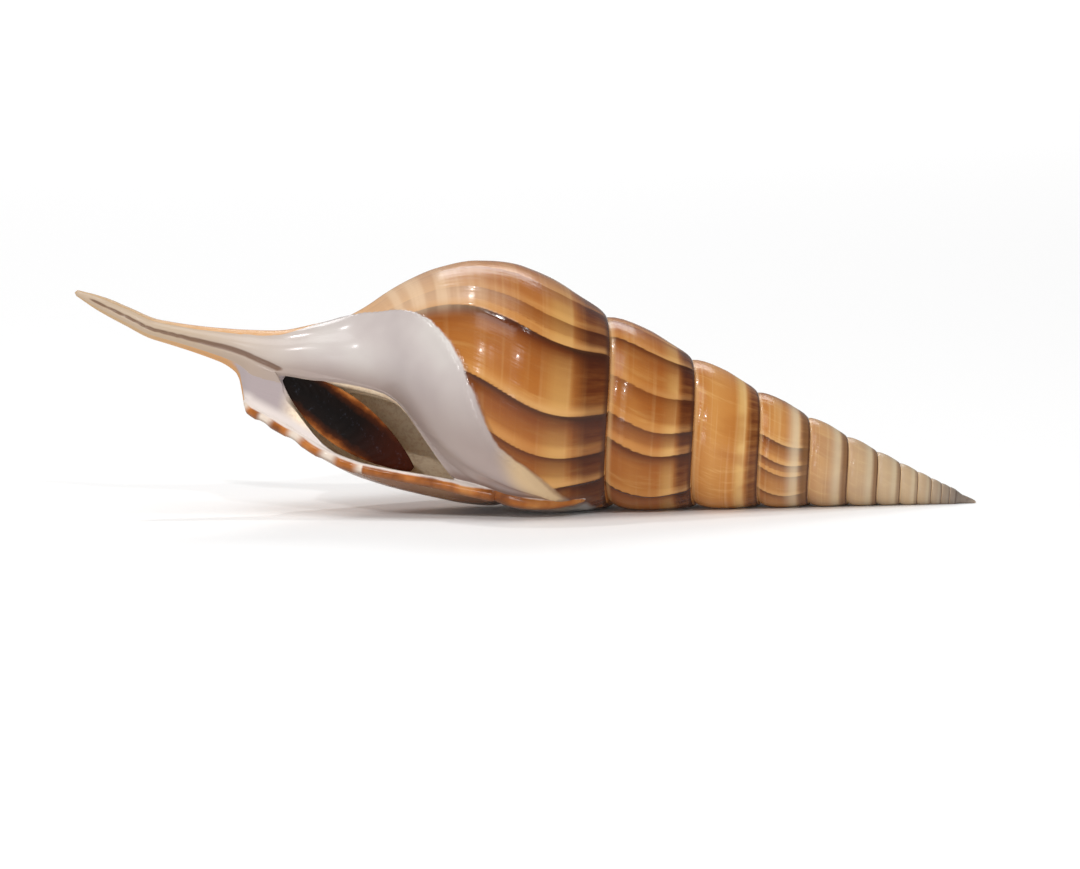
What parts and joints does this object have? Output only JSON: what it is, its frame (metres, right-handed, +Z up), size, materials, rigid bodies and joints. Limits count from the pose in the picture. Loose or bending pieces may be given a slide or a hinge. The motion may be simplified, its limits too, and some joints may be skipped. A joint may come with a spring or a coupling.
{
  "type": "sea shell",
  "caption": "Glossy tan and brown spindle-shaped sea shell with a tall spire, long pointed rostrum, toothed lip and white callus, its dark horny operculum resting in the mouth",
  "frame": {"origin": "centre of the bounding box at its lowest level, the surface that the shell rests on", "axes": "+X runs along the shell towards the apex, -Y is the side that the mouth faces, +Z is up"},
  "size_m": [0.1458, 0.0392, 0.0407],
  "materials": {
    "shell": "glossy grown shell, tan with brown growth lines, white callus",
    "operculum": "dark brown horn, dull, amber at its margin"
  },
  "bodies": {
    "root": {"shell": "shell", "operculum": "operculum"}
  },
  "joints": []
}
